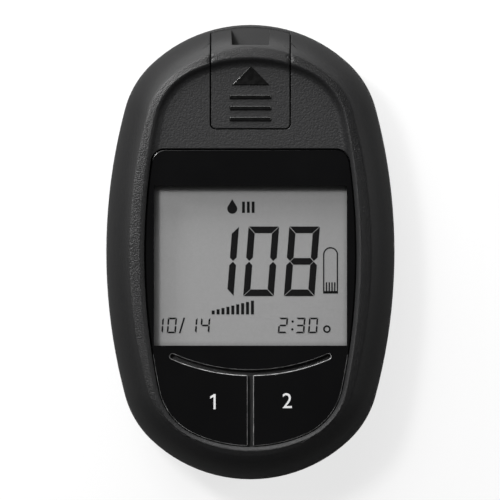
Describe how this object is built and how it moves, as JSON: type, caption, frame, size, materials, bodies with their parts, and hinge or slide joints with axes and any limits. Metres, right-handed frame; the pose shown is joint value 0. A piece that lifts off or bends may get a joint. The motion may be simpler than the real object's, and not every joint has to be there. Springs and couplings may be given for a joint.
{
  "type": "cholesterol meter",
  "caption": "Palm-sized egg-shaped blood meter: a display, press keys cut from a glossy panel, a slide-off strip port cover and a hinged battery door.",
  "frame": {"origin": "middle of the rear face, on which the meter lies", "axes": "+Z out of the display, +Y towards the strip port, +X to the right of someone who reads the display"},
  "size_m": [0.059, 0.093, 0.023],
  "materials": {
    "case_plastic": "satin, with a fine grain on the recessed face",
    "panel_plastic": "high gloss",
    "clear_plastic": "clear and polished",
    "port_plastic": "satin",
    "gilt_metal": "bright plating",
    "board_laminate": "solder resist",
    "pale_plastic": "moulded",
    "display_cell": "reflective liquid crystal cell",
    "contact_rubber": "soft",
    "switch_plastic": "moulded",
    "plunger_plastic": "moulded",
    "chip_plastic": "moulded",
    "plated_steel": "nickel plating",
    "cell_case": "printed sleeve, plain",
    "label_film": "blank film"
  },
  "bodies": {
    "case": {"front_housing": "case_plastic", "rear_housing": "case_plastic", "face_panel": "panel_plastic", "display_lens": "clear_plastic", "strip_port_base": "port_plastic", "strip_contacts": "gilt_metal", "circuit_board": "board_laminate", "display_frame": "pale_plastic", "display_glass": "display_cell", "contact_strip_upper": "contact_rubber", "contact_strip_lower": "contact_rubber", "memory_switch": "switch_plastic", "set_switch": "switch_plastic", "processor_chip": "chip_plastic", "memory_chip": "chip_plastic", "clock_crystal": "plated_steel", "buzzer": "chip_plastic", "board_screws": "plated_steel", "housing_screws": "plated_steel", "battery_left": "cell_case", "battery_right": "cell_case", "positive_contact": "plated_steel", "negative_contact": "plated_steel", "negative_spring": "plated_steel", "bridge_contact": "plated_steel", "bridge_spring": "plated_steel", "rear_label": "label_film"},
    "port_cover": {"strip_port_cover": "case_plastic"},
    "left_key": {"memory_key": "panel_plastic"},
    "right_key": {"set_key": "panel_plastic"},
    "left_plunger": {"memory_plunger": "plunger_plastic"},
    "right_plunger": {"set_plunger": "plunger_plastic"},
    "door": {"battery_door": "case_plastic"}
  },
  "joints": [
    {"name": "strip_cover_slide", "type": "slide", "parent": "case", "child": "port_cover", "axis": [0, 1, 0], "range_m": [0, 0.024]},
    {"name": "memory_key_press", "type": "hinge", "parent": "case", "child": "left_key", "pos_m": [0, -0.02125, 0.02045], "axis": [1, 0, 0], "range_deg": [0, 2], "stiffness_Nm_per_rad": 0.4},
    {"name": "set_key_press", "type": "hinge", "parent": "case", "child": "right_key", "pos_m": [0, -0.02125, 0.02045], "axis": [1, 0, 0], "range_deg": [0, 2], "stiffness_Nm_per_rad": 0.4},
    {"name": "memory_plunger_travel", "type": "slide", "parent": "case", "child": "left_plunger", "axis": [0, 0, -1], "range_m": [0, 0.00035]},
    {"name": "set_plunger_travel", "type": "slide", "parent": "case", "child": "right_plunger", "axis": [0, 0, -1], "range_m": [0, 0.00035]},
    {"name": "battery_door_swing", "type": "hinge", "parent": "case", "child": "door", "pos_m": [0, -0.0342, 0.00015], "axis": [-1, 0, 0], "range_deg": [0, 70]}
  ],
  "couplings": [
    {"joint": "memory_plunger_travel", "follows": "memory_key_press", "m_per_rad": 0.0092},
    {"joint": "set_plunger_travel", "follows": "set_key_press", "m_per_rad": 0.0092}
  ]
}
